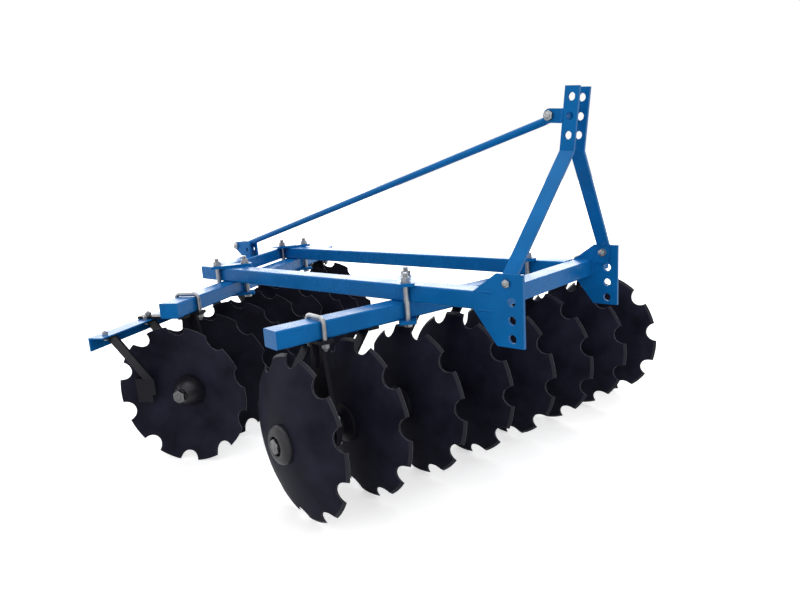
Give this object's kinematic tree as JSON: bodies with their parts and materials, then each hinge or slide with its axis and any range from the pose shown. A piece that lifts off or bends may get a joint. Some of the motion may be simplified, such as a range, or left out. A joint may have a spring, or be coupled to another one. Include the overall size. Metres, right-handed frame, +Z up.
{
  "type": "offset disc harrow",
  "caption": "Three-point mounted offset disc harrow: two angled gangs of notched discs clamped under a tube frame with hitch mast and stay.",
  "frame": {"origin": "on the ground under the middle of the machine's whole length and width", "axes": "+X forward towards the hitch, +Y to the machine's left, +Z up"},
  "size_m": [2.3548, 2.2006, 1.3312],
  "materials": {
    "blue_paint": "glossy blue enamel over welded steel",
    "disc_paint": "satin black paint on pressed steel discs",
    "black_paint": "black paint on cast and forged running gear",
    "zinc_steel": "zinc-plated bolts, nuts and U-bolts"
  },
  "bodies": {
    "frame": {"bar_straps_front": "black_paint", "bar_straps_rear": "black_paint", "bearing_front_left": "black_paint", "bearing_front_right": "black_paint", "bearing_rear_left": "black_paint", "bearing_rear_right": "black_paint", "clamp_bolts_front": "zinc_steel", "clamp_bolts_rear": "zinc_steel", "clamp_straps_front_left": "blue_paint", "clamp_straps_front_right": "blue_paint", "clamp_straps_rear_left": "blue_paint", "clamp_straps_rear_right": "blue_paint", "crossbeam_front": "blue_paint", "crossbeam_rear": "blue_paint", "gang_beam_front": "blue_paint", "gang_beam_rear": "blue_paint", "hanger_front_left": "black_paint", "hanger_front_right": "black_paint", "hanger_rear_left": "black_paint", "hanger_rear_right": "black_paint", "hitch_plate_left": "blue_paint", "hitch_plate_right": "blue_paint", "long_beam_left": "blue_paint", "long_beam_right": "blue_paint", "mast_bar_left": "blue_paint", "mast_bar_right": "blue_paint", "mast_bolts": "zinc_steel", "mast_bracket": "blue_paint", "scraper_bar_front": "blue_paint", "scraper_bar_rear": "blue_paint", "scrapers_front": "black_paint", "scrapers_rear": "black_paint", "stay": "blue_paint", "stay_lugs": "blue_paint", "stay_pins": "zinc_steel", "u_bolts_front": "zinc_steel", "u_bolts_rear": "zinc_steel"},
    "front_gang": {"axle_front": "black_paint", "disc_front_1": "disc_paint", "disc_front_2": "disc_paint", "disc_front_3": "disc_paint", "disc_front_4": "disc_paint", "disc_front_5": "disc_paint", "disc_front_6": "disc_paint", "disc_front_7": "disc_paint", "disc_front_8": "disc_paint", "end_bells_front": "black_paint", "spools_front": "black_paint"},
    "rear_gang": {"axle_rear": "black_paint", "disc_rear_1": "disc_paint", "disc_rear_2": "disc_paint", "disc_rear_3": "disc_paint", "disc_rear_4": "disc_paint", "disc_rear_5": "disc_paint", "disc_rear_6": "disc_paint", "disc_rear_7": "disc_paint", "disc_rear_8": "disc_paint", "end_bells_rear": "black_paint", "spools_rear": "black_paint"}
  },
  "joints": [
    {"name": "front_gang_spin", "type": "hinge", "parent": "frame", "child": "front_gang", "pos_m": [0.70851, -0.02895, 0.28], "axis": [0.1736, 0.9848, 0], "continuous": true},
    {"name": "rear_gang_spin", "type": "hinge", "parent": "frame", "child": "rear_gang", "pos_m": [-0.56622, -0.02395, 0.28], "axis": [-0.4509, 0.8926, 0], "continuous": true}
  ]
}
